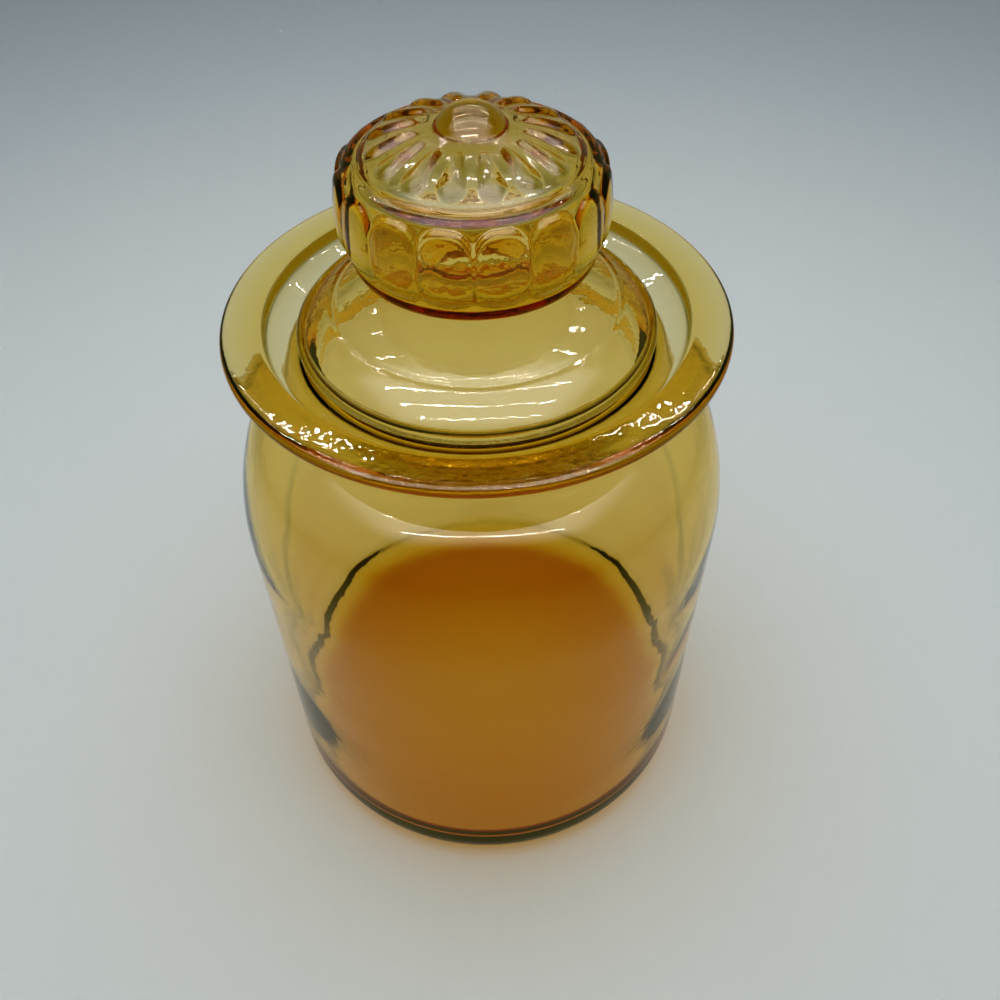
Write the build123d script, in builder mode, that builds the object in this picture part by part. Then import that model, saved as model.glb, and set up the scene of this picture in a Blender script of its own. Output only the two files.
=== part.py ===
from build123d import *
from math import acos, asin, atan2, cos, degrees, hypot, radians, sin, sqrt, tan
import os

# Apothecary jar of amber glass: a blown body with a wide brim, and a blown lid with a hollow fluted knob.
# The origin is the centre of the foot, +Z is up, and every length is in millimetres.

# Jar body
body_radius = 76.2
heel_radius = 14.0
glass_wall = 3.2
floor_thickness = 10.0
inner_heel_radius = 12.0
foot_width = 12.2
push_up_depth = 2.0
shoulder_start = 122.5
upper_wall_radius = 77.0
upper_wall_turn = 21.0
shoulder_radius = 30.0
shoulder_turn = 49.0
gutter_radius = 8.8

# Brim and ground seat
brim_rise = 14.2
brim_width = 11.6
brim_fall = 6.0
lip_round = 2.0
recess_depth = 4.2
recess_taper = 1.3
recess_round = 0.8
seat_width = 12.95
seat_angle = 22.0

# Lid
lid_seat_width = 5.65
lid_edge_round = 2.0
seat_gap = 0.25
lid_wall = 3.0
edge_turn = 130.0
lower_tier_width = 10.9
lower_tier_rise = 8.6
upper_tier_rise = 5.0
neck_radius = 14.0
neck_fillet = 3.4
neck_straight = 1.4

# Hollow knob
knob_side_radius = 33.4
knob_side_height = 21.5
knob_ring_inset = 1.2
knob_ring_round = 2.6
knob_rim_inset = 1.1
knob_rim_round = 3.2
knob_rim_turn = 110.0
groove_width = 1.2
groove_rise = 1.5
crown_height = 6.6
button_radius = 9.2
button_height = 4.2

# Lobes round the knob's side and petals on its crown
flute_count = 16
lobe_curve = 10.5
lobe_stand = 1.9
lobe_bulge = 1.2
lobe_lift = 0.6
lobe_overrun = 2.7
lobe_end_round = 6.0
petal_inner_gap = 5.4
petal_inner_round = 2.6
petal_inner_stand = 1.1
petal_outer_gap = 2.6
petal_outer_round = 3.4
petal_outer_stand = 1.3

# Places on the body, worked out from the sizes above
push_up_radius = body_radius - heel_radius - foot_width
shoulder_end_turn = upper_wall_turn + shoulder_turn
upper_centre = (body_radius - upper_wall_radius, shoulder_start)
shoulder_join = (
    upper_centre[0] + (upper_wall_radius - shoulder_radius) * cos(radians(upper_wall_turn)),
    upper_centre[1] + (upper_wall_radius - shoulder_radius) * sin(radians(upper_wall_turn)),
)
gutter_centre = (
    shoulder_join[0] + (shoulder_radius + gutter_radius) * cos(radians(shoulder_end_turn)),
    shoulder_join[1] + (shoulder_radius + gutter_radius) * sin(radians(shoulder_end_turn)),
)
throat_radius = gutter_centre[0] - gutter_radius - glass_wall

# The brim and its seat stand on the neck, so they follow the throat and the gutter
seat_outer_radius = throat_radius + seat_width
recess_radius = seat_outer_radius + recess_taper
lip_radius = recess_radius + brim_width
lip_centre = (lip_radius - lip_round, gutter_centre[1] + brim_rise)
brim_run = lip_centre[0] - gutter_centre[0]
brim_lean = atan2(brim_run, brim_rise)
brim_slope = degrees(acos((lip_round + gutter_radius) / hypot(brim_run, brim_rise)) - brim_lean)
lip_top = (
    lip_centre[0] + lip_round * sin(radians(brim_fall)),
    lip_centre[1] + lip_round * cos(radians(brim_fall)),
)
recess_top = lip_top[1] + (lip_top[0] - recess_radius) * tan(radians(brim_fall))
seat_outer_height = recess_top - recess_depth
throat_top = seat_outer_height - seat_width * tan(radians(seat_angle))

# The lid's rounded edge rests on the seat, just outside the throat
lid_radius = throat_radius + lid_seat_width
lid_edge_radius = lid_radius - lid_edge_round
lid_mouth_radius = lid_edge_radius - lid_edge_round
lid_edge_height = (
    seat_outer_height
    - (seat_outer_radius - lid_edge_radius) * tan(radians(seat_angle))
    + (lid_edge_round + seat_gap) / cos(radians(seat_angle))
)
lid_bottom = lid_edge_height - lid_edge_round
crease_radius = lid_radius - lower_tier_width
crease_height = lid_edge_height + lower_tier_rise

# Places on the knob
knob_ring_radius = knob_side_radius - knob_ring_inset
knob_rim_radius = knob_side_radius - knob_rim_inset
crown_edge_radius = knob_rim_radius - knob_rim_round * (1 - cos(radians(knob_rim_turn))) - groove_width
petal_inner_radius = button_radius + petal_inner_gap
petal_outer_radius = crown_edge_radius - petal_outer_gap
lobe_axis_radius = knob_side_radius + lobe_stand - lobe_curve
lobe_length = knob_side_height - lobe_lift + lobe_overrun
first_flute = 180 / flute_count

# Crown and button are round domes, given by their spheres' radii
crown_curve = (crown_edge_radius**2 + crown_height**2) / (2 * crown_height)
button_rise = button_height + crown_curve - sqrt(crown_curve**2 - button_radius**2)
button_curve = (button_radius**2 + button_rise**2) / (2 * button_rise)


def jar_wall_line(inset):
    """Draws the wall from the shoulder's start to the gutter's waist, set in by the glass thickness."""
    upper = JernArc(
        start=(body_radius - inset, shoulder_start),
        tangent=(0, 1),
        radius=upper_wall_radius - inset,
        arc_size=upper_wall_turn,
    )
    shoulder = JernArc(
        start=upper @ 1,
        tangent=upper % 1,
        radius=shoulder_radius - inset,
        arc_size=shoulder_turn,
    )
    return JernArc(
        start=shoulder @ 1,
        tangent=shoulder % 1,
        radius=gutter_radius + inset,
        arc_size=-shoulder_end_turn,
    )


# Body, one turned profile: foot, wall, shoulder, gutter, brim, recess, seat, throat and inside
with BuildPart() as jar_body:
    with BuildSketch(Plane.XZ):
        with BuildLine():
            push_up = ThreePointArc(
                (0, push_up_depth),
                (push_up_radius / 2, push_up_depth * 3 / 4),
                (push_up_radius, 0),
            )
            foot = Line(push_up @ 1, (body_radius - heel_radius, 0))
            heel = JernArc(start=foot @ 1, tangent=(1, 0), radius=heel_radius, arc_size=90)
            Line(heel @ 1, (body_radius, shoulder_start))
            waist = jar_wall_line(0)
            gutter = JernArc(
                start=waist @ 1,
                tangent=waist % 1,
                radius=gutter_radius,
                arc_size=-(90 - brim_slope),
            )
            lip = CenterArc(
                center=lip_centre,
                radius=lip_round,
                start_angle=brim_slope - 90,
                arc_size=180 - brim_slope - brim_fall,
            )
            Line(gutter @ 1, lip @ 0)
            brim = Line(lip @ 1, (recess_radius, recess_top))
            step = Line(brim @ 1, (seat_outer_radius, seat_outer_height))
            seat = Line(step @ 1, (throat_radius, throat_top))
            inner_waist = jar_wall_line(glass_wall)
            Line(seat @ 1, inner_waist @ 1)
            inner_wall = Line(
                (body_radius - glass_wall, shoulder_start),
                (body_radius - glass_wall, floor_thickness + inner_heel_radius),
            )
            inner_heel = JernArc(
                start=inner_wall @ 1,
                tangent=(0, -1),
                radius=inner_heel_radius,
                arc_size=-90,
            )
            floor = Line(inner_heel @ 1, (0, floor_thickness))
            Line(floor @ 1, push_up @ 0)
        make_face()
    revolve(axis=Axis.Z)
    recess_edge = jar_body.edges().filter_by(GeomType.CIRCLE).filter_by(
        lambda edge: abs(edge.radius - recess_radius) < 0.01 and abs(edge.center().Z - recess_top) < 0.01
    )
    fillet(recess_edge, radius=recess_round)
jar_body.part.label = "jar_body"


# Lid, one turned outline: rounded edge, two dome tiers, neck, knob ring, knob side, rim and crown
with BuildSketch(Plane.XZ) as lid_outline:
    with BuildLine():
        under = Line((0, lid_bottom), (lid_edge_radius, lid_bottom))
        edge = JernArc(start=under @ 1, tangent=(1, 0), radius=lid_edge_round, arc_size=edge_turn)
        lower_tier = TangentArc(edge @ 1, (crease_radius, crease_height), tangent=edge % 1)
        upper_tier = TangentArc(
            (neck_radius + neck_fillet, crease_height + upper_tier_rise),
            lower_tier @ 1,
            tangent=(1, 0),
        )
        neck_root = JernArc(start=upper_tier @ 0, tangent=(-1, 0), radius=neck_fillet, arc_size=-90)
        neck = Line(neck_root @ 1, neck_root @ 1 + (0, neck_straight))
        neck_top = JernArc(start=neck @ 1, tangent=(0, 1), radius=neck_fillet, arc_size=-90)
        underside = Line(
            neck_top @ 1,
            (knob_ring_radius - knob_ring_round, (neck_top @ 1).Y),
        )
        ring = JernArc(start=underside @ 1, tangent=(1, 0), radius=knob_ring_round, arc_size=90)
        side = ThreePointArc(
            ring @ 1,
            (knob_side_radius, (ring @ 1).Y + knob_side_height / 2),
            (knob_rim_radius, (ring @ 1).Y + knob_side_height),
        )
        rim = JernArc(start=side @ 1, tangent=(0, 1), radius=knob_rim_round, arc_size=knob_rim_turn)
        groove = Line(rim @ 1, (crown_edge_radius, (rim @ 1).Y + groove_rise))
        crown_top = (0, (groove @ 1).Y + crown_height)
        crown = TangentArc(crown_top, groove @ 1, tangent=(1, 0))
        Line(crown @ 0, under @ 0)
    make_face()

# Hollow of the lid: the outline, with its mouth run on below, set in by the glass thickness
with BuildSketch(Plane.XZ) as lid_hollow:
    add(lid_outline.sketch)
    with Locations((0, lid_bottom)):
        Rectangle(2 * (lid_mouth_radius + lid_wall), 2 * lid_wall, align=(Align.CENTER, Align.MAX))
    mirror(about=Plane.YZ)
    offset(amount=-lid_wall, mode=Mode.REPLACE)
    split(bisect_by=Plane.YZ, keep=Keep.TOP)

# One lobe, a barrel about its own upright axis
with BuildPart() as lobe:
    with BuildSketch(Plane.XZ) as lobe_half:
        with BuildLine():
            lobe_base = Line((0, 0), (lobe_curve - lobe_bulge, 0))
            lobe_flank = ThreePointArc(
                lobe_base @ 1,
                (lobe_curve, lobe_length / 2),
                (lobe_curve - lobe_bulge, lobe_length),
            )
            Polyline(lobe_flank @ 1, (0, lobe_length), (0, 0))
        make_face()
        fillet(lobe_half.vertices().group_by(Axis.X)[-1], radius=lobe_end_round)
    revolve(axis=Axis.Z)

# One petal, a drop about an axis that lies along the crown, its fat end at the rim


def crown_point(radius, lift):
    """Gives the point over the crown at a radius, in the outline's plane, standing off by lift."""
    tilt = asin(radius / crown_curve)
    reach = crown_curve + lift
    return (reach * sin(tilt), crown_top[1] - crown_curve + reach * cos(tilt))


petal_inner = crown_point(petal_inner_radius, petal_inner_stand - petal_inner_round)
petal_outer = crown_point(petal_outer_radius, petal_outer_stand - petal_outer_round)
petal_run = (petal_outer[0] - petal_inner[0], petal_outer[1] - petal_inner[1])
with BuildPart() as petal:
    with BuildSketch(Plane.XZ) as petal_outline:
        with Locations(petal_inner):
            Circle(petal_inner_round)
        with Locations(petal_outer):
            Circle(petal_outer_round)
        make_hull(petal_outline.edges())
        split(bisect_by=Plane(origin=petal_inner, z_dir=(-petal_run[1], petal_run[0])), keep=Keep.TOP)
    revolve(axis=Axis((petal_inner[0], 0, petal_inner[1]), (petal_run[0], 0, petal_run[1])))

# Lid: turned shell with a lobed knob, raised petals and a solid button on the crown
with BuildPart() as lid:
    add(lid_outline.sketch)
    revolve(axis=Axis.Z)
    with Locations((0, 0, (ring @ 1).Y + lobe_lift)):
        with PolarLocations(lobe_axis_radius, flute_count, start_angle=first_flute):
            add(lobe.part)
    with PolarLocations(0, flute_count, start_angle=first_flute):
        add(petal.part)
    with Locations((0, 0, crown_top[1] + button_height - button_curve)):
        Sphere(button_curve)
    add(lid_hollow.sketch)
    revolve(axis=Axis.Z, mode=Mode.SUBTRACT)
lid.part.label = "lid"

os.makedirs("parts", exist_ok=True)
export_step(jar_body.part, "parts/jar_body.step")
export_step(lid.part, "parts/lid.step")
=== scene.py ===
"""An amber glass apothecary jar: blown body, wide brim, and a lift-off lid with a hollow lobed knob."""
from math import acos, asin, atan2, ceil, cos, degrees, hypot, pi, radians, sin, sqrt, tan

import bpy
import numpy as np
from mathutils import Matrix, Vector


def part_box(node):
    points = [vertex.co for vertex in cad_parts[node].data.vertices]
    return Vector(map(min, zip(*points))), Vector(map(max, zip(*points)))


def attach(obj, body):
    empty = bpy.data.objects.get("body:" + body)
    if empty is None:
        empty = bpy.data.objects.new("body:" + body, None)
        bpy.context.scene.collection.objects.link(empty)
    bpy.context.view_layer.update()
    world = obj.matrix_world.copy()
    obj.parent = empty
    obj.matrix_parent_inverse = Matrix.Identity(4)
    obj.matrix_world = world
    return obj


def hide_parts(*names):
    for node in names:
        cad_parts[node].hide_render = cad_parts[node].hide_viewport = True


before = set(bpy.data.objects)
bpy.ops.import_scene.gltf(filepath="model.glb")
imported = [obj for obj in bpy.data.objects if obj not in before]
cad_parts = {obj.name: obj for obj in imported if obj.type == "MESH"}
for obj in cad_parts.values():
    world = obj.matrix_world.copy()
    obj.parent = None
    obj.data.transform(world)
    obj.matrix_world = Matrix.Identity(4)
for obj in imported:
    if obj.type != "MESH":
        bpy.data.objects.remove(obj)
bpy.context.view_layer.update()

MM = 0.001

# Sizes in millimetres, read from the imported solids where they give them
jar_low, jar_high = (np.array(corner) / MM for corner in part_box("jar_body"))
lid_low, lid_high = (np.array(corner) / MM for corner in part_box("lid"))
body_radius = jar_high[0]
lid_radius = 50.0
lid_bottom = lid_low[2]
lid_top = lid_high[2]

# Jar body
heel_radius = 14.0
glass_wall = 3.2
floor_thickness = 10.0
inner_heel_radius = 12.0
push_up_radius = 50.0
push_up_depth = 2.0
shoulder_start = 122.5
upper_wall_radius = 77.0
upper_wall_turn = 21.0
shoulder_radius = 30.0
shoulder_turn = 49.0
gutter_radius = 8.8
lip_radius = 70.2
lip_round = 2.0
lip_height = 190.0
brim_fall = -1.0
recess_radius = 58.6
recess_depth = 3.05
recess_taper = 1.3
seat_angle = 22.0

# Lid and knob
lid_edge_round = 2.0
lid_wall = 3.0
edge_turn = 130.0
crease_radius = 39.1
crease_rise = 8.6
neck_radius = 14.0
neck_height = 8.2
neck_fillet = 3.4
neck_root_rise = 13.6
knob_ring_radius = 32.2
knob_ring_round = 2.6
knob_side_radius = 33.4
knob_side_height = 21.5
knob_rim_radius = 32.3
knob_rim_round = 3.2
knob_rim_turn = 110.0
crown_edge_radius = 26.8
crown_edge_step = 1.5
crown_height = 6.1
crown_power = 2.4
button_radius = 8.9
flute_count = 16
lobe_stand = 1.5
petal_inner_radius = 14.4
petal_outer_radius = 22.8


def linear(hex_colour):
    """Turns an sRGB hex colour to linear red, green, blue and an opaque alpha."""
    channels = [int(hex_colour[i : i + 2], 16) / 255 for i in (1, 3, 5)]
    return [c / 12.92 if c <= 0.04045 else ((c + 0.055) / 1.055) ** 2.4 for c in channels] + [1.0]


def node(tree, kind, settings=(), links=(), **properties):
    """Adds a shader node, sets its properties and input values, and links its inputs to other nodes' outputs."""
    made = tree.nodes.new(kind)
    for name, value in properties.items():
        setattr(made, name, value)
    for name, value in dict(settings).items():
        made.inputs[name].default_value = value
    for name, (source, output) in dict(links).items():
        tree.links.new(source.outputs[output], made.inputs[name])
    return made


# Outlines in the radius and height plane, as arrays of points


def line(start, end, step=0.25):
    """Points from start to end at about the step, without the last."""
    start, end = np.array(start, float), np.array(end, float)
    count = max(2, ceil(np.linalg.norm(end - start) / step))
    return start + (end - start) * np.linspace(0, 1, count, endpoint=False)[:, None]


def arc(centre, radius, start, end, step=0.25):
    """Points on a circle: centre plus radius times the cosine and sine of an angle from start to end."""
    count = max(3, ceil(abs(radians(end - start)) * radius / step))
    angle = np.radians(np.linspace(start, end, count, endpoint=False))
    return np.array(centre) + radius * np.stack([np.cos(angle), np.sin(angle)], -1)


def arc_between(start, end, heading):
    """Points on the arc from start to end that leaves start at the heading, and the heading at its end."""
    start, end = np.array(start, float), np.array(end, float)
    chord = end - start
    turn = 2 * (degrees(atan2(chord[1], chord[0])) - heading)
    radius = np.linalg.norm(chord) / (2 * sin(radians(abs(turn) / 2)))
    side = 1 if turn > 0 else -1
    centre = start + side * radius * np.array([-sin(radians(heading)), cos(radians(heading))])
    first = degrees(atan2(*(start - centre)[::-1]))
    return arc(centre, radius, first, first + turn), heading + turn, centre, radius


def softened(points, sigma, step=0.1):
    """The same outline with its corners rounded: resampled evenly, then blurred along its length by a Gaussian."""
    points = points[np.r_[True, np.linalg.norm(np.diff(points, axis=0), axis=1) > 1e-6]]
    length = np.r_[0, np.cumsum(np.linalg.norm(np.diff(points, axis=0), axis=1))]
    even = np.linspace(0, length[-1], ceil(length[-1] / step))
    line_in = np.stack([np.interp(even, length, points[:, k]) for k in (0, 1)], -1)
    reach = ceil(4 * sigma / step)
    weight = np.exp(-0.5 * (np.arange(-reach, reach + 1) * step / sigma) ** 2)
    before = 2 * line_in[0] - line_in[reach:0:-1]
    after = 2 * line_in[-1] - line_in[-2 : -reach - 2 : -1]
    padded = np.vstack([before, line_in, after])
    soft = np.stack([np.convolve(padded[:, k], weight / weight.sum(), "valid") for k in (0, 1)], -1)
    soft[[0, -1], 0] = 0
    return soft


def thinned(points, rows, bend_share=2.5, detail=None):
    """Picks rows along the outline, closer together where it turns and where detail is asked for."""
    run = np.diff(points, axis=0)
    length = np.linalg.norm(run, axis=1)
    heading = np.unwrap(np.arctan2(run[:, 1], run[:, 0]))
    turn = np.abs(np.gradient(heading))
    weight = length * (1 if detail is None else detail((points[1:] + points[:-1]) / 2)) + bend_share * turn
    total = np.r_[0, np.cumsum(weight)]
    wanted = np.linspace(0, total[-1], rows)
    return np.stack([np.interp(wanted, total, points[:, k]) for k in (0, 1)], -1)


def normals_of(points):
    """Unit normals to the right of the outline's run, which is outwards where it is drawn from the foot up."""
    run = np.gradient(points, axis=0)
    run /= np.linalg.norm(run, axis=1)[:, None]
    return np.stack([run[:, 1], -run[:, 0]], -1)


def jar_outline():
    """The body's outline: push-up, foot, heel, wall, shoulder, gutter, brim, seat, throat and inside, axis to axis."""
    heel = (body_radius - heel_radius, heel_radius)
    upper = np.array([body_radius - upper_wall_radius, shoulder_start])
    lean = np.array([cos(radians(upper_wall_turn)), sin(radians(upper_wall_turn))])
    shoulder = upper + (upper_wall_radius - shoulder_radius) * lean
    end_turn = upper_wall_turn + shoulder_turn
    reach = shoulder_radius + gutter_radius
    gutter = shoulder + reach * np.array([cos(radians(end_turn)), sin(radians(end_turn))])
    lip = np.array([lip_radius - lip_round, lip_height])
    across, up = lip - gutter
    slope = degrees(acos((lip_round + gutter_radius) / hypot(across, up)) - atan2(across, up))
    lip_end = lip + lip_round * np.array([sin(radians(brim_fall)), cos(radians(brim_fall))])
    recess_top = lip_end[1] + (lip_end[0] - recess_radius) * tan(radians(brim_fall))
    seat = (recess_radius - recess_taper, recess_top - recess_depth)
    throat = gutter[0] - gutter_radius - glass_wall
    throat_top = seat[1] - (seat[0] - throat) * tan(radians(seat_angle))
    inner = body_radius - glass_wall
    inner_heel = (inner - inner_heel_radius, floor_thickness + inner_heel_radius)
    rise = push_up_radius**2 / (2 * push_up_depth) + push_up_depth / 2
    half = degrees(asin(push_up_radius / rise))
    parts = [
        arc((0, push_up_depth - rise), rise, 90, 90 - half),
        line((push_up_radius, 0), (heel[0], 0)),
        arc(heel, heel_radius, -90, 0),
        line((body_radius, heel[1]), (body_radius, shoulder_start)),
        arc(upper, upper_wall_radius, 0, upper_wall_turn),
        arc(shoulder, shoulder_radius, upper_wall_turn, end_turn),
        arc(gutter, gutter_radius, end_turn + 180, 90 + slope),
        line(
            gutter + gutter_radius * np.array([-sin(radians(slope)), cos(radians(slope))]),
            lip + lip_round * np.array([sin(radians(slope)), -cos(radians(slope))]),
        ),
        arc(lip, lip_round, slope - 90, 90 - brim_fall),
        line(lip_end, (recess_radius, recess_top)),
        line((recess_radius, recess_top), seat),
        line(seat, (throat, throat_top)),
        line((throat, throat_top), (throat, gutter[1])),
        arc(gutter, gutter_radius + glass_wall, 180, end_turn + 180),
        arc(shoulder, shoulder_radius - glass_wall, end_turn, upper_wall_turn),
        arc(upper, upper_wall_radius - glass_wall, upper_wall_turn, 0),
        line((inner, shoulder_start), (inner, inner_heel[1])),
        arc(inner_heel, inner_heel_radius, 0, -90),
        line((inner_heel[0], floor_thickness), (0, floor_thickness)),
    ]
    return np.vstack([*parts, [(0, floor_thickness)]]), seat, (throat, throat_top)


def lid_outline():
    """The lid's plain outline, from the axis inside the knob, down the inside, round the edge and up to the button."""
    edge_height = lid_bottom + lid_edge_round
    edge = np.array([lid_radius - lid_edge_round, edge_height])
    edge_end = edge + lid_edge_round * np.array([sin(radians(edge_turn)), -cos(radians(edge_turn))])
    crease = (crease_radius, edge_height + crease_rise)
    lower, crease_heading, lower_centre, lower_curve = arc_between(edge_end, crease, edge_turn)
    tier_top = np.array([neck_radius + neck_fillet, edge_height + neck_root_rise])
    run, rise = crease[0] - tier_top[0], tier_top[1] - crease[1]
    upper_curve = (run**2 + rise**2) / (2 * rise)
    upper_centre = tier_top - (0, upper_curve)
    upper_turn = degrees(asin(run / upper_curve))
    neck_low = tier_top + (0, neck_fillet)
    neck_high = neck_low + (0, neck_height - 2 * neck_fillet)
    under = neck_high[1] + neck_fillet
    ring = np.array([knob_ring_radius - knob_ring_round, under + knob_ring_round])
    rim_height = ring[1] + knob_side_height
    bulge, half = knob_side_radius - (knob_ring_radius + knob_rim_radius) / 2, knob_side_height / 2
    side_curve = (half**2 + bulge**2) / (2 * bulge)
    side_centre = (knob_side_radius - side_curve, ring[1] + half)
    side_turn = degrees(asin(half / side_curve))
    rim = np.array([knob_rim_radius - knob_rim_round, rim_height])
    rim_end = rim + knob_rim_round * np.array([cos(radians(knob_rim_turn)), sin(radians(knob_rim_turn))])
    crown_edge = (crown_edge_radius, rim_end[1] + crown_edge_step)

    def crown(radius):
        return crown_edge[1] + crown_height * (1 - (radius / crown_edge_radius) ** crown_power)

    crown_out = np.linspace(crown_edge_radius, button_radius, 80)
    crown_in = np.linspace(0, crown_edge_radius - 1.5, 100)
    button_rise = lid_top - crown(button_radius)
    button_curve = (button_radius**2 + button_rise**2) / (2 * button_rise)
    button_half = degrees(asin(min(1, button_radius / button_curve)))
    mouth = edge[0] - lid_edge_round
    inner = [
        np.stack([crown_in, crown(crown_in) - lid_wall], -1),
        line((rim_end[0] - 1.5, rim_end[1] - lid_wall), (side_centre[0] + side_curve - lid_wall - 1, rim_height)),
        arc(side_centre, side_curve - lid_wall, side_turn, -side_turn),
        line((ring[0], under + lid_wall), (neck_high[0], under + lid_wall)),
        arc(neck_high, neck_fillet + lid_wall, 90, 180),
        line(neck_high - (neck_fillet + lid_wall, 0), neck_low - (neck_fillet + lid_wall, 0)),
        arc(neck_low, neck_fillet + lid_wall, 180, 270),
        arc(upper_centre, upper_curve - lid_wall, 90, 90 - upper_turn),
        arc(lower_centre, lower_curve - lid_wall, crease_heading - 90, edge_turn - 98),
        line((mouth, edge[1] + 1), (mouth, lid_bottom)),
    ]
    outer = [
        line((mouth, lid_bottom), (edge[0], lid_bottom)),
        arc(edge, lid_edge_round, -90, edge_turn - 90),
        lower,
        arc(upper_centre, upper_curve, 90 - upper_turn, 90),
        arc(neck_low, neck_fillet, 270, 180),
        line(neck_low - (neck_fillet, 0), neck_high - (neck_fillet, 0)),
        arc(neck_high, neck_fillet, 180, 90),
        line((neck_high[0], under), (ring[0], under)),
        arc(ring, knob_ring_round, -90, 0),
        arc(side_centre, side_curve, -side_turn, side_turn),
        arc(rim, knob_rim_round, 0, knob_rim_turn),
        line(rim_end, crown_edge),
        np.stack([crown_out, crown(crown_out)], -1),
        arc((0, lid_top - button_curve), button_curve, 90 - button_half, 90),
        [(0, lid_top)],
    ]
    heights = {"under": under, "rim": rim_height, "crown": crown_edge[1]}
    return np.vstack(inner), np.vstack(outer), heights


def turned(name, points, normals, columns, stand):
    """Turns an outline about the axis: each point moves along its own normal by stand(angle) and swings round.
    The first and last points lie on the axis and close the surface."""
    angle = np.arange(columns) * 2 * pi / columns
    lifted = points[:, None, :] + normals[:, None, :] * stand(points, angle)[..., None]
    radius, height = lifted[1:-1, :, 0], lifted[1:-1, :, 1]
    grid = np.stack([radius * np.cos(angle), radius * np.sin(angle), height], -1)
    ends = [(0, 0, lifted[0, :, 1].mean()), (0, 0, lifted[-1, :, 1].mean())]
    vertices = np.vstack([grid.reshape(-1, 3), ends]) * MM
    rows = grid.shape[0]
    index = np.arange(rows * columns).reshape(rows, columns)
    beside = np.roll(index, -1, axis=1)
    quads = np.stack([index[:-1], beside[:-1], beside[1:], index[1:]], -1).reshape(-1, 4)
    first = np.stack([np.full(columns, rows * columns), beside[0], index[0]], -1)
    last = np.stack([np.full(columns, rows * columns + 1), index[-1], beside[-1]], -1)
    corners = np.concatenate([quads.ravel(), first.ravel(), last.ravel()])
    sizes = np.r_[np.full(len(quads), 4), np.full(2 * columns, 3)]
    mesh = bpy.data.meshes.new(name)
    mesh.vertices.add(len(vertices))
    mesh.vertices.foreach_set("co", vertices.ravel())
    mesh.loops.add(len(corners))
    mesh.loops.foreach_set("vertex_index", corners)
    mesh.polygons.add(len(sizes))
    mesh.polygons.foreach_set("loop_start", np.r_[0, np.cumsum(sizes)[:-1]])
    mesh.polygons.foreach_set("use_smooth", np.ones(len(sizes), bool))
    mesh.update(calc_edges=True)
    made = bpy.data.objects.new(name, mesh)
    bpy.context.scene.collection.objects.link(made)
    return made


def waves(points, angle, size, seed, count=7, longest=90.0):
    """The slow unevenness of worked glass: a sum of waves round and along the outline, up to size in millimetres."""
    draw = np.random.default_rng(seed)
    along = np.r_[0, np.cumsum(np.linalg.norm(np.diff(points, axis=0), axis=1))][:, None]
    total = np.zeros((len(points), len(angle)))
    for _ in range(count):
        turns = draw.integers(1, 6)
        length = longest * draw.uniform(0.35, 1.0)
        total += np.sin(turns * angle + draw.uniform(0, 2 * pi) + 2 * pi * along / length)
    return size * total / count


jar_profile, seat_point, throat_point = jar_outline()
jar_soft = thinned(softened(jar_profile, 0.35), 340)


def jar_stand(points, angle):
    """How far the jar's surface moves off its outline: slow waves, only ever into the glass on the outside."""
    wave = waves(points, angle, 0.30, 11)
    wall = np.clip((points[:, 1] - 35) / 30, 0, 1)
    fade = (np.clip(points[:, 0] / 20, 0, 1) * (0.05 + 0.95 * wall))[:, None]
    return (wave - 0.38) / 2 * fade


def build_jar():
    """The blown body as one closed surface, outside and inside."""
    return turned("jar_glass", jar_soft, normals_of(jar_soft), 288, jar_stand)


lid_inner, lid_outer, lid_heights = lid_outline()


def knob_relief(points, angle, outside):
    """Height of the lobes and petals over the outer outline, in millimetres. A lobe is a shallow bow across, cut by
    an arched edge above and below. A petal is a drop, widest at the rim. The crease between the tiers dips in."""
    across = ((angle * flute_count / (2 * pi)) % 1 * 2 - 1)[None, :]
    radius, height = points[:, :1], points[:, 1:]
    lobe_top, lobe_low = lid_heights["rim"] + 1.2, lid_heights["under"] + 5.2
    top = lobe_top - 4.4 * np.abs(across) ** 3.5
    low = lobe_low + 1.6 * np.abs(across) ** 3
    rise = np.sqrt(1 - (1 - np.clip((top - height) / 2.2, 0, 1)) ** 2)
    fall = 1 - (1 - np.clip((height - low) / 6.0, 0, 1)) ** 2
    side = (radius > 30) & (height > lid_heights["under"]) & (height < lobe_top)
    lobe = lobe_stand * (1 - 0.5 * across**4) * rise * fall * side
    aside = np.sin(across * pi / flute_count) * radius
    along = np.cos(across * pi / flute_count) * radius
    share = np.clip((along - petal_inner_radius) / (petal_outer_radius - petal_inner_radius), 0, 1)
    centre = petal_inner_radius + share * (petal_outer_radius - petal_inner_radius)
    half_width = 1.4 + 1.9 * share
    inside = 1 - np.hypot(aside, along - centre) / half_width
    petal = 1.1 * (1 - (1 - np.clip(inside, 0, 1)) ** 2) * (height > lid_heights["rim"] + 1)
    crease = np.hypot(radius - crease_radius, height - (lid_bottom + lid_edge_round + crease_rise))
    dip = 0.28 * np.exp(-((crease / 0.7) ** 2))
    return (lobe + petal - dip) * outside[:, None]


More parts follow.
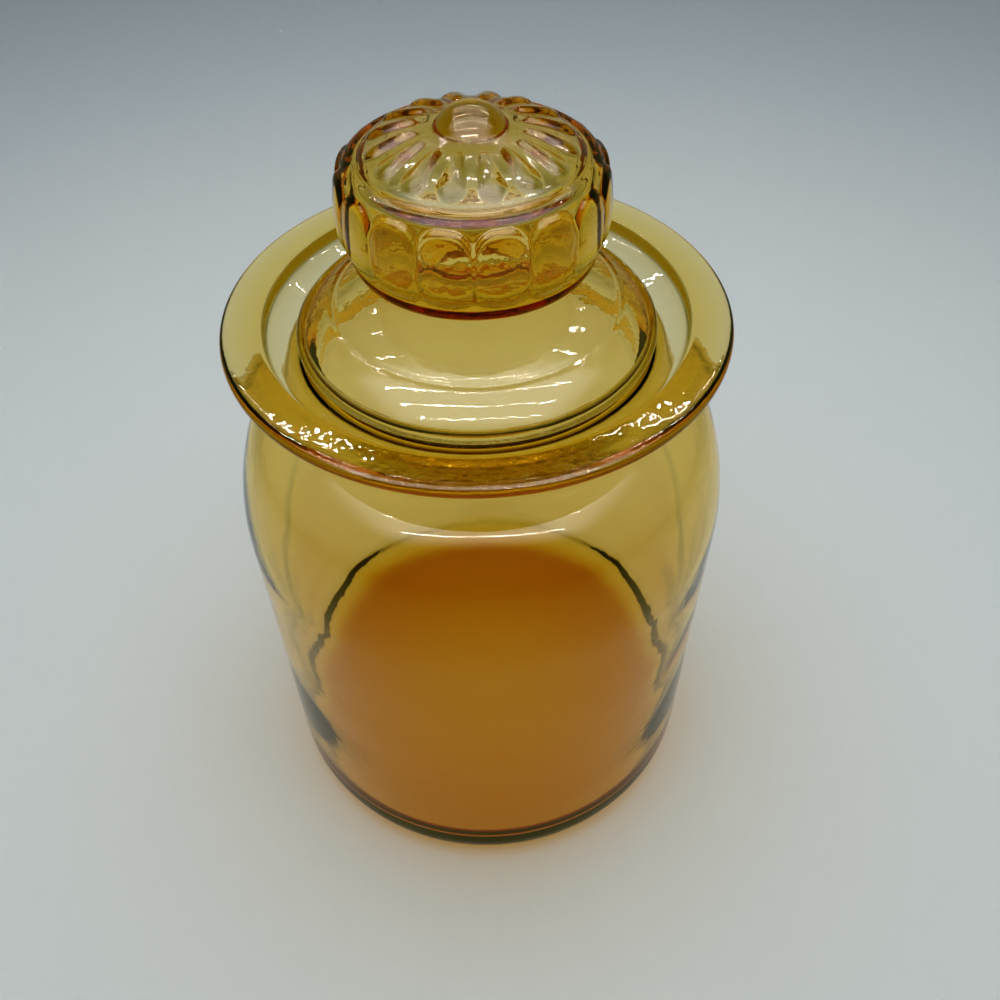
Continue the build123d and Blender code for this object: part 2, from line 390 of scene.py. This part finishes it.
def build_lid():
    """The blown lid as one closed surface: inside first, then round the edge and up the outside."""
    whole = softened(np.vstack([lid_inner, lid_outer]), 0.45)
    crease = np.array([crease_radius, lid_bottom + lid_edge_round + crease_rise])

    def detail(middles):
        near_crease = np.linalg.norm(middles - crease, axis=1) < 2
        return 1 + 1.2 * (middles[:, 1] > lid_heights["under"] + 3) + 2 * near_crease

    points = thinned(whole, 320, detail=detail)
    turning = int(np.argmin(np.hypot(points[:, 0] - (lid_radius - 3), points[:, 1] - lid_bottom)))
    outside = np.arange(len(points)) > turning

    def stand(rows, angle):
        wave = (waves(rows, angle, 0.12, 23) - 0.12) / 2 * np.clip(rows[:, :1] / 20, 0, 1)
        return wave + knob_relief(rows, angle, outside)

    return turned("lid_glass", points, normals_of(points), 304, stand)


def amber_glass(name, roughness, slow_height, fine_width, fine_height, rough_above):
    """Amber soda-lime glass, fire-polished: clear, smooth and wavy, brown where the light's way through it is long."""
    material = bpy.data.materials.new(name)
    material.use_nodes = True
    tree = material.node_tree
    tree.nodes.clear()
    place = node(tree, "ShaderNodeTexCoord")
    slow = node(tree, "ShaderNodeTexNoise", {"Scale": 1000 / 16, "Detail": 1.0}, {"Vector": (place, "Object")})
    fine = node(tree, "ShaderNodeTexNoise", {"Scale": 1000 / fine_width, "Detail": 1.5}, {"Vector": (place, "Object")})
    slow_bump = node(
        tree,
        "ShaderNodeBump",
        {"Strength": 1.0, "Distance": slow_height * MM},
        {"Height": (slow, "Fac")},
    )
    split = node(tree, "ShaderNodeSeparateXYZ", links={"Vector": (place, "Object")})
    ripple = node(
        tree,
        "ShaderNodeMapRange",
        {"From Min": (rough_above - 8) * MM, "From Max": rough_above * MM, "To Min": 0.2, "To Max": 1.0},
        {"Value": (split, "Z")},
    )
    fine_bump = node(
        tree,
        "ShaderNodeBump",
        {"Distance": fine_height * MM},
        {"Strength": (ripple, "Result"), "Height": (fine, "Fac"), "Normal": (slow_bump, "Normal")},
    )
    glass = node(
        tree,
        "ShaderNodeBsdfPrincipled",
        {
            "Base Color": linear("#FFFFFF"),
            "Roughness": roughness,
            "IOR": 1.51,
            "Transmission Weight": 1.0,
        },
        {"Normal": (fine_bump, "Normal")},
    )
    facing = node(tree, "ShaderNodeFresnel", {"IOR": 1.51})
    shade = node(
        tree,
        "ShaderNodeMapRange",
        {"From Min": 0.0, "From Max": 0.6, "To Min": 1.0, "To Max": 0.8},
        {"Value": (facing, "Fac")},
    )
    clear = node(tree, "ShaderNodeBsdfTransparent", links={"Color": (shade, "Result")})
    path = node(tree, "ShaderNodeLightPath")
    lamps = node(tree, "ShaderNodeMixShader", links={0: (path, "Is Shadow Ray"), 1: (glass, 0), 2: (clear, 0)})
    spread = node(tree, "ShaderNodeMixShader", links={0: (path, "Is Diffuse Ray"), 1: (lamps, 0), 2: (clear, 0)})
    depth = node(tree, "ShaderNodeVolumeAbsorption", {"Color": linear("#FBE970"), "Density": 240.0})
    node(tree, "ShaderNodeOutputMaterial", links={"Surface": (spread, 0), "Volume": (depth, 0)})
    return material


def stage_floor():
    """A pale flat floor, whose tone falls a little from the middle outwards."""
    half = 4.0
    mesh = bpy.data.meshes.new("floor")
    mesh.from_pydata([(-half, -half, 0), (half, -half, 0), (half, half, 0), (-half, half, 0)], [], [(0, 1, 2, 3)])
    made = bpy.data.objects.new("floor", mesh)
    bpy.context.scene.collection.objects.link(made)
    material = bpy.data.materials.new("pale_floor")
    material.use_nodes = True
    tree = material.node_tree
    shader = tree.nodes["Principled BSDF"]
    shader.inputs["Roughness"].default_value = 0.75
    place = node(tree, "ShaderNodeTexCoord")
    away = node(tree, "ShaderNodeVectorMath", links={0: (place, "Object")}, operation="LENGTH")
    share = node(
        tree,
        "ShaderNodeMapRange",
        {"From Min": 0.3, "From Max": 0.8},
        {"Value": (away, "Value")},
        interpolation_type="SMOOTHSTEP",
    )
    first_colour, second_colour, colour_out = 6, 7, 2
    tone = node(
        tree,
        "ShaderNodeMix",
        {first_colour: linear("#D9DFDE"), second_colour: linear("#D4DEE3")},
        {0: (share, "Result")},
        data_type="RGBA",
    )
    tree.links.new(tone.outputs[colour_out], shader.inputs["Base Color"])
    far = node(
        tree,
        "ShaderNodeMapRange",
        {"From Min": 1.0, "From Max": 3.0},
        {"Value": (away, "Value")},
        interpolation_type="SMOOTHSTEP",
    )
    gone = node(tree, "ShaderNodeBsdfTransparent")
    faded = node(tree, "ShaderNodeMixShader", links={0: (far, "Result"), 1: (shader, 0), 2: (gone, 0)})
    tree.links.new(faded.outputs[0], tree.nodes["Material Output"].inputs["Surface"])
    made.data.materials.append(material)
    return made


def glowing(name, colour, strength):
    """A plain light-giving material for the studio."""
    material = bpy.data.materials.new(name)
    material.use_nodes = True
    tree = material.node_tree
    tree.nodes.clear()
    glow = node(tree, "ShaderNodeEmission", {"Color": linear(colour), "Strength": strength})
    node(tree, "ShaderNodeOutputMaterial", links={"Surface": (glow, 0)})
    return material


def softbox(name, place, aim, width, depth, power, colour="#FFFFFF"):
    """A soft lamp at place, facing aim, with its sides in metres and its power in watts."""
    data = bpy.data.lights.new(name, "AREA")
    data.shape = "RECTANGLE"
    data.size, data.size_y = width, depth
    data.energy = power
    data.color = linear(colour)[:3]
    made = bpy.data.objects.new(name, data)
    back = np.array(place, float) - np.array(aim, float)
    back /= np.linalg.norm(back)
    beside = np.cross((0, 1, 0) if abs(back[2]) > 0.9 else (0, 0, 1), back)
    beside /= np.linalg.norm(beside)
    up = np.cross(back, beside)
    made.matrix_world = Matrix([[beside[i], up[i], back[i], place[i]] for i in range(3)] + [[0, 0, 0, 1]])
    bpy.context.scene.collection.objects.link(made)
    return made


def sheet(height, half_width, front, back, strength):
    """The softbox's bright cloth as clear glass mirrors it: a glowing rectangle that lights nothing by itself."""
    mesh = bpy.data.meshes.new("softbox_cloth")
    corners = [(half_width, front, height), (-half_width, front, height)]
    corners += [(-half_width, back, height), (half_width, back, height)]
    mesh.from_pydata(corners, [], [(0, 1, 2, 3)])
    made = bpy.data.objects.new("softbox_cloth", mesh)
    bpy.context.scene.collection.objects.link(made)
    material = glowing("lit_cloth", "#FFFFFF", strength)
    tree = material.node_tree
    place = node(tree, "ShaderNodeTexCoord")
    split = node(tree, "ShaderNodeSeparateXYZ", links={"Vector": (place, "Object")})
    aside = node(tree, "ShaderNodeMath", links={0: (split, "X")}, operation="ABSOLUTE")
    fades = (
        ((split, "Y"), 0.0, 0.12, strength, 0.1 * strength),
        ((split, "Y"), front, -0.28, 0.15, 1.0),
        ((aside, "Value"), 0.25, half_width, 1.0, 0.15),
    )
    left = None
    for measured, start, end, low, high in fades:
        fade = node(
            tree,
            "ShaderNodeMapRange",
            {"From Min": start, "From Max": end, "To Min": low, "To Max": high},
            {"Value": measured},
            interpolation_type="SMOOTHSTEP",
        )
        if left is None:
            left = (fade, "Result")
        else:
            left = (node(tree, "ShaderNodeMath", links={0: left, 1: (fade, "Result")}, operation="MULTIPLY"), "Value")
    tree.links.new(left[0].outputs[left[1]], tree.nodes["Emission"].inputs["Strength"])
    material.cycles.emission_sampling = "NONE"
    mesh.materials.append(material)
    made.visible_diffuse = False
    made.visible_transmission = False
    made.visible_shadow = False
    made.visible_camera = False


def lamp_rows(height, front, back, half_width):
    """The softbox's own small lamps, in rows across: little six-sided discs that only clear reflections show."""
    row_pitch, lamp_pitch, lamp_radius = 0.140, 0.012, 0.0040
    across = np.arange(-half_width, half_width, lamp_pitch)
    along = np.arange(front, back, row_pitch)
    centres = np.stack(np.meshgrid(across, along), -1).reshape(-1, 1, 2)
    turn = np.arange(6) * pi / 3
    corners = centres + lamp_radius * np.stack([np.cos(turn), np.sin(turn)], -1)
    vertices = np.concatenate([corners, np.full(corners.shape[:2] + (1,), height)], -1).reshape(-1, 3)
    mesh = bpy.data.meshes.new("lamp_rows")
    faces = np.arange(len(vertices)).reshape(-1, 6)[:, ::-1]
    mesh.from_pydata(vertices.tolist(), [], faces.tolist())
    made = bpy.data.objects.new("lamp_rows", mesh)
    bpy.context.scene.collection.objects.link(made)
    material = glowing("small_lamps", "#FFFDF6", 60.0)
    material.cycles.emission_sampling = "NONE"
    mesh.materials.append(material)
    made.visible_diffuse = False
    made.visible_transmission = False
    made.visible_shadow = False
    made.visible_camera = False


def photo_camera():
    """The photo's camera: 963 pixels of focal length in a 1000 pixel square, placed by its fitted pose."""
    focal_pixels, image_pixels, sensor = 963.0, 1000.0, 36.0
    place = np.array([2.49, -218.03, 351.18]) * MM
    forward = np.array([0.009735, 0.673546, -0.739081])
    right = np.array([0.999644, -0.024920, -0.009544])
    up = np.cross(right, forward)
    data = bpy.data.cameras.new("camera")
    data.sensor_width = sensor
    data.lens = focal_pixels / image_pixels * sensor
    data.clip_start = 0.01
    made = bpy.data.objects.new("camera", data)
    made.matrix_world = Matrix([[right[i], up[i], -forward[i], place[i]] for i in range(3)] + [[0, 0, 0, 1]])
    bpy.context.scene.collection.objects.link(made)
    bpy.context.scene.camera = made


def studio():
    """Soft light from above and the sides, and a dim room in front."""
    scene = bpy.context.scene
    world = bpy.data.worlds.new("studio")
    scene.world = world
    world.use_nodes = True
    tree = world.node_tree
    tree.nodes.clear()
    place = node(tree, "ShaderNodeTexCoord")
    split = node(tree, "ShaderNodeSeparateXYZ", links={"Vector": (place, "Generated")})
    height = node(
        tree,
        "ShaderNodeMapRange",
        {"From Min": 0.05, "From Max": 0.55, "To Min": 0.42, "To Max": 0.34},
        {"Value": (split, "Z")},
        interpolation_type="SMOOTHSTEP",
    )
    ahead = node(
        tree,
        "ShaderNodeMath",
        {0: 0.0, 1: 1.2, 2: 0.0},
        {0: (split, "Z"), 2: (split, "Y")},
        operation="MULTIPLY_ADD",
    )
    front = node(
        tree,
        "ShaderNodeMapRange",
        {"From Min": -0.9, "From Max": -0.1, "To Min": 0.5, "To Max": 1.0},
        {"Value": (ahead, "Value")},
        interpolation_type="SMOOTHSTEP",
    )
    strength = node(
        tree,
        "ShaderNodeMath",
        links={0: (height, "Result"), 1: (front, "Result")},
        operation="MULTIPLY",
    )
    background = node(
        tree,
        "ShaderNodeBackground",
        {"Color": linear("#C8CBCC")},
        {"Strength": (strength, "Value")},
    )
    node(tree, "ShaderNodeOutputWorld", links={"Surface": (background, 0)})
    lamp = softbox("top_softbox", (0.0, 0.04, 0.62), (0, 0.04, 0), 0.95, 0.80, 2.58)
    lamp.visible_glossy = False
    lamp.visible_transmission = False
    sheet(0.61, 0.56, -0.49, 0.31, 2.45)
    lamp_rows(0.60, -0.30, 0.42, 0.30)
    scene.view_settings.view_transform = "Standard"
    scene.view_settings.look = "High Contrast"
    scene.view_settings.use_curve_mapping = True
    curves = scene.view_settings.curve_mapping
    for dark, dimmed in ((0.03, 0.012), (0.09, 0.082), (0.2, 0.2)):
        curves.curves[2].points.new(dark, dimmed)
    curves.update()
    cycles = scene.cycles
    cycles.max_bounces = 32
    cycles.transmission_bounces = 28
    cycles.glossy_bounces = 8
    cycles.diffuse_bounces = 3
    cycles.transparent_max_bounces = 32
    cycles.caustics_reflective = False
    cycles.caustics_refractive = False


jar_glass = build_jar()
lid_glass = build_lid()
jar_glass.data.materials.append(amber_glass("blown_amber_glass", 0.0, 0.02, 3.6, 0.06, lip_height))
lid_glass.data.materials.append(amber_glass("moulded_amber_glass", 0.0, 0.10, 2.6, 0.05, lid_bottom))
for piece, body, cad_node in ((jar_glass, "jar", "jar_body"), (lid_glass, "lid", "lid")):
    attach(piece, body)
    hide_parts(cad_node)
stage_floor()
photo_camera()
studio()
